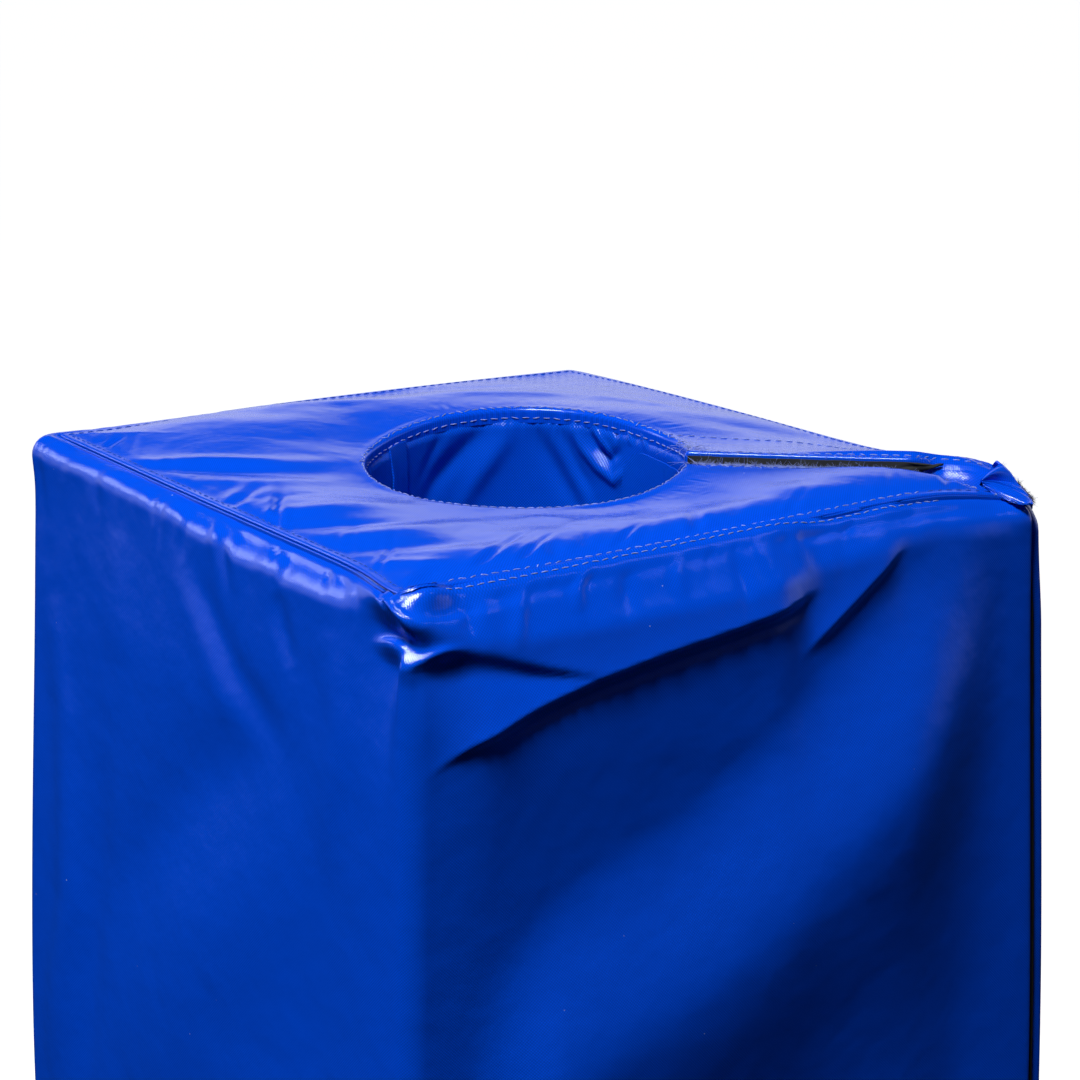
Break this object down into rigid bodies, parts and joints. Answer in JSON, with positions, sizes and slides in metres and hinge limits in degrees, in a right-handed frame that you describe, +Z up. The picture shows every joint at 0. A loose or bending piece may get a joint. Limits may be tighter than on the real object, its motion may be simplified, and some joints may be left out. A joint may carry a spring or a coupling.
{
  "type": "goal post pad",
  "caption": "Square upright pad for a goal post: foam in a glossy coated-fabric cover, with a round bore for the post and a taped slit to one corner.",
  "frame": {"origin": "on the floor plane, under the middle of the pad's outline", "axes": "+Z up along the bore; the slit runs from the bore to the corner at +X -Y, and the pad flexes at the corner at -X +Y"},
  "size_m": [0.3197, 0.3175, 1.8399],
  "materials": {
    "cover": "glossy royal blue PVC-coated polyester",
    "liner": "glossy royal blue PVC-coated polyester, in the bore",
    "hook_tape": "black hook tape",
    "loop_tape": "black loop tape",
    "foam": "matt soft foam"
  },
  "bodies": {
    "front_half": {"foam_core_front": "foam", "wall_cover_front": "cover", "top_panel_front": "cover", "bottom_panel_front": "cover", "liner_front": "liner", "slit_wall_front": "cover", "hook_tape_top": "hook_tape", "hook_tape_edge": "hook_tape", "hook_tape_bottom": "hook_tape", "foam_flex_web": "foam", "wall_cover_flex": "cover", "top_panel_flex": "cover", "bottom_panel_flex": "cover", "liner_flex": "liner", "liner_lap": "liner"},
    "rear_half": {"foam_core_rear": "foam", "wall_cover_rear": "cover", "top_panel_rear": "cover", "bottom_panel_rear": "cover", "liner_rear": "liner", "slit_wall_rear": "cover", "loop_tape_top": "loop_tape", "loop_tape_edge": "loop_tape", "loop_tape_bottom": "loop_tape", "bore_flap": "liner", "corner_fold": "cover"}
  },
  "joints": [
    {"name": "opening", "type": "hinge", "parent": "front_half", "child": "rear_half", "pos_m": [-0.04419, 0.04419, 0], "axis": [0, 0, 1], "range_deg": [0, 30], "stiffness_Nm_per_rad": 60, "deforming": ["foam_flex_web", "wall_cover_flex", "top_panel_flex", "bottom_panel_flex", "liner_flex", "liner_lap"]}
  ]
}
